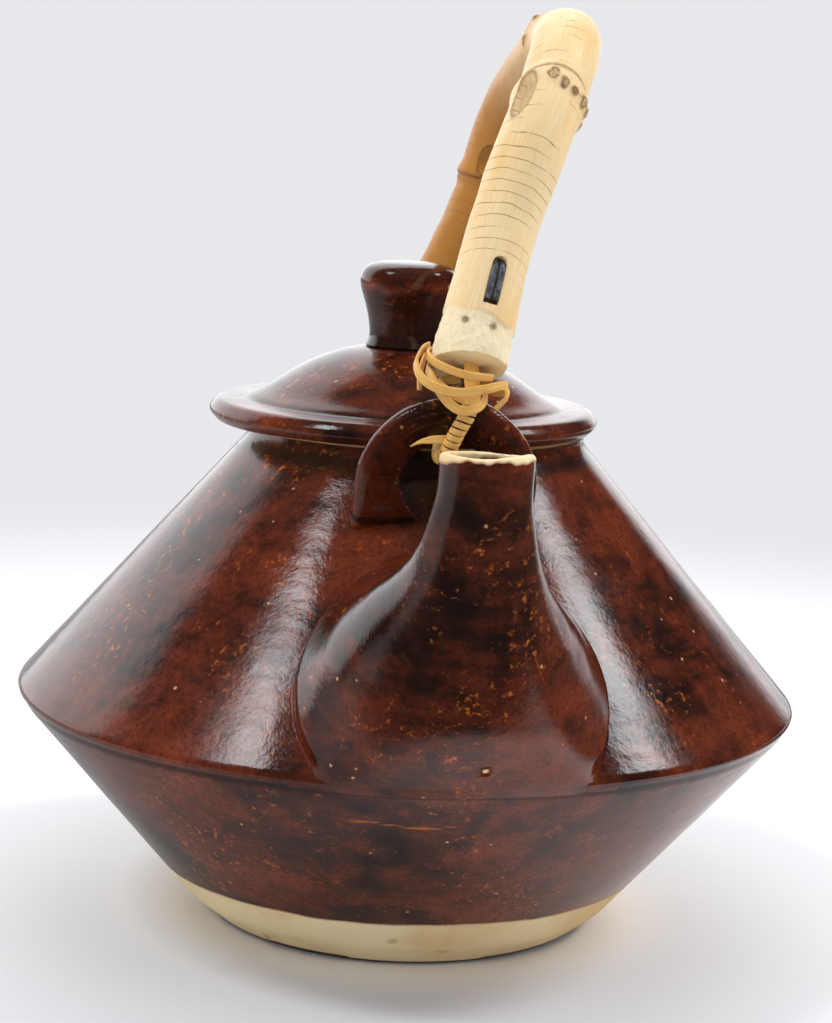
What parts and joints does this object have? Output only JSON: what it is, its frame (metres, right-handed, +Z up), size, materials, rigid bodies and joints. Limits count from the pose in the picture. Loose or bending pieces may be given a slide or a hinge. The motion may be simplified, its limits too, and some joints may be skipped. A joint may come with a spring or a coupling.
{
  "type": "teapot",
  "caption": "Glazed stoneware teapot: double-cone pot, front spout, lift-off dome lid with knob, and a bamboo bail that swings on wound wire loops.",
  "frame": {"origin": "centre of the flat base, on the surface the teapot stands on", "axes": "+Z up along the pot's axis, the spout points to -Y, the bail swings about an axis along Y"},
  "size_m": [0.188, 0.2137, 0.2204],
  "materials": {
    "glazed_stoneware": "glossy red-brown glaze with rust and amber flecks, bare buff clay at the foot and the lips",
    "bamboo": "pale straw root cane with fine growth rings, satin",
    "iron_wire": "dark drawn wire",
    "split_cane": "honey-coloured split cane, satin"
  },
  "bodies": {
    "pot": {"vessel": "glazed_stoneware", "spout": "glazed_stoneware", "lug_front": "glazed_stoneware", "lug_rear": "glazed_stoneware"},
    "lid": {"lid": "glazed_stoneware", "lid_knob": "glazed_stoneware"},
    "handle": {"bamboo_handle": "bamboo", "wire_loop_front": "iron_wire", "wire_loop_rear": "iron_wire", "cane_winding_front": "split_cane", "cane_winding_rear": "split_cane", "cane_tie_front": "split_cane", "cane_tie_rear": "split_cane"}
  },
  "joints": [
    {"name": "lid_lift", "type": "slide", "parent": "pot", "child": "lid", "axis": [0, 0, 1], "range_m": [0, 0.009]},
    {"name": "handle_swing", "type": "hinge", "parent": "pot", "child": "handle", "pos_m": [0, 0, 0.1138], "axis": [0, 1, 0], "range_deg": [-58, 34]}
  ]
}
